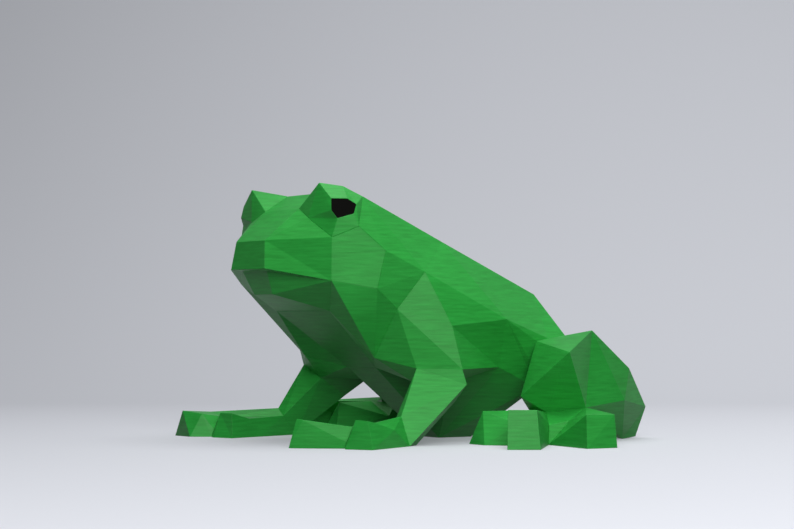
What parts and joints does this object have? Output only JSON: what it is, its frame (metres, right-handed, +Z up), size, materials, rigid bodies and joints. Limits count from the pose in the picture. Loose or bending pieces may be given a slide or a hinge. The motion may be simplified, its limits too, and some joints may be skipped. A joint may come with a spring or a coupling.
{
  "type": "paper frog",
  "caption": "Low-poly frog sculpture folded from green card, squatting on splayed feet, with small black eyes set under angular brow peaks.",
  "frame": {"origin": "centre of the frog's footprint box, on the floor it stands on", "axes": "nose towards -Y, +Z up, the frog's left side towards +X"},
  "size_m": [0.33, 0.258, 0.165],
  "materials": {
    "green_card": "matte",
    "eye_card": "matte"
  },
  "bodies": {
    "root": {"back": "green_card", "belly": "green_card", "cheek_left": "green_card", "cheek_right": "green_card", "chest": "green_card", "eye_left": "eye_card", "eye_right": "eye_card", "eye_socket_left": "green_card", "eye_socket_right": "green_card", "flank_left": "green_card", "flank_right": "green_card", "front_foot_left": "green_card", "front_foot_right": "green_card", "front_leg_left": "green_card", "front_leg_right": "green_card", "head_top": "green_card", "hind_foot_left": "green_card", "hind_foot_right": "green_card", "hind_leg_left": "green_card", "hind_leg_right": "green_card", "lower_jaw": "green_card"}
  },
  "joints": []
}
